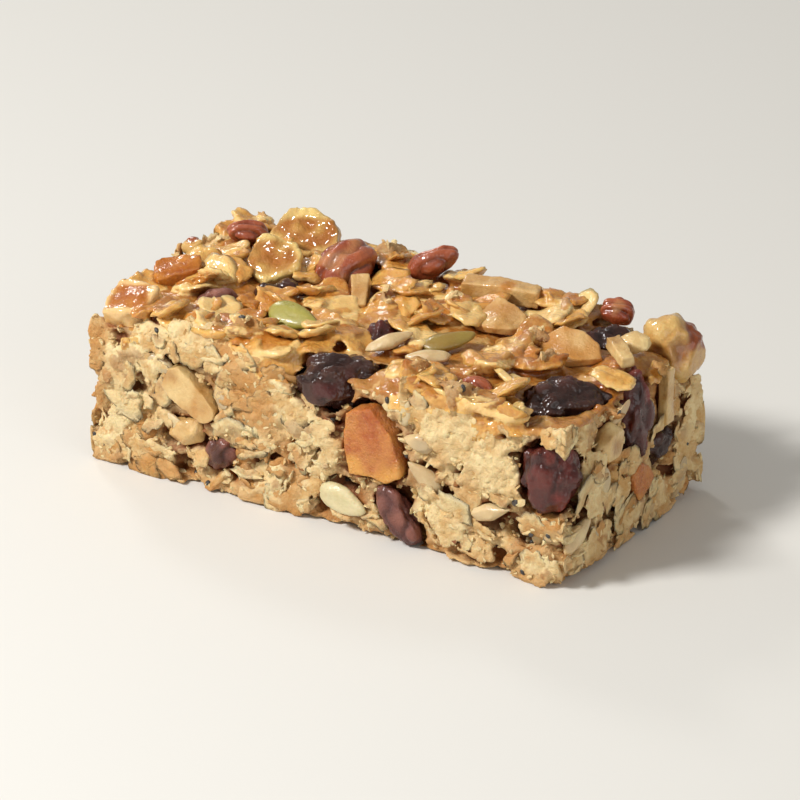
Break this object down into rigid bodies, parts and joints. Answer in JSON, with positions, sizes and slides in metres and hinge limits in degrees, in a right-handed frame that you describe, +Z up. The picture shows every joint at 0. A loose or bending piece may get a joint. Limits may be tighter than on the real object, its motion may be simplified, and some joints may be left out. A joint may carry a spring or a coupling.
{
  "type": "fruit and nut bar",
  "caption": "Baked bar of rolled oats bound with syrup, with dried fruit, nuts and seeds in it, cut with a knife on four sides and glazed on top, to be eaten in the hand.",
  "frame": {"origin": "the middle of the flat base, at the middle of the bar's length and width", "axes": "+X along the bar to its right cut end as the picture shows it, +Y to the back, +Z up out of the glazed top"},
  "size_m": [0.114, 0.057, 0.0411],
  "materials": {
    "raisin": "glossy wrinkled black skin",
    "cranberry": "glossy dark red skin, a little see-through at thin edges",
    "date": "soft sticky cut fruit",
    "apricot": "cut dried fruit with a sugary face",
    "pecan": "glazed ridged nut skin",
    "almond": "smooth cut nut",
    "hazelnut": "blanched nut with amber syrup",
    "banana": "dried slice, pale rim and brown middle",
    "pumpkin": "smooth seed skin, glazed",
    "sunflower": "smooth pale kernel",
    "oat": "toasted oat flakes and crumb, glazed with syrup on the top"
  },
  "bodies": {
    "root": {"oat_mass": "oat", "almond_bit_1": "almond", "almond_bit_2": "almond", "banana_chip_1": "banana", "banana_chip_2": "banana", "pecan_1": "pecan", "pecan_2": "pecan", "pecan_3": "pecan", "pecan_4": "pecan", "pecan_5": "pecan", "almond_sliver_1": "almond", "almond_sliver_2": "almond", "almond_slice_1": "almond", "almond_slice_2": "almond", "pumpkin_seed_1": "pumpkin", "pumpkin_seed_2": "pumpkin", "sunflower_kernel_1": "sunflower", "sunflower_kernel_2": "sunflower", "nut_bit_1": "hazelnut", "apricot_1": "apricot", "date_1": "date", "date_2": "date", "hazelnut_1": "hazelnut", "raisin_1": "raisin", "raisin_2": "raisin", "raisin_3": "raisin", "raisin_4": "raisin", "cranberry_3": "cranberry", "apricot_2": "apricot", "date_3": "date", "pumpkin_seed_3": "pumpkin", "sunflower_kernel_3": "sunflower", "sunflower_kernel_4": "sunflower", "almond_chunk_1": "almond", "almond_chunk_2": "almond", "cranberry_2": "cranberry", "date_4": "date", "cranberry_1": "cranberry", "almond_sliver_3": "almond", "almond_chunk_3": "almond", "apricot_3": "apricot", "raisin_5": "raisin", "sunflower_kernel_5": "sunflower", "cranberry_4": "cranberry", "apricot_4": "apricot", "raisin_6": "raisin", "almond_chunk_4": "almond", "pumpkin_seed_4": "pumpkin", "pecan_6": "pecan", "raisin_7": "raisin", "almond_chunk_5": "almond", "pumpkin_seed_5": "pumpkin", "cranberry_5": "cranberry"}
  },
  "joints": []
}
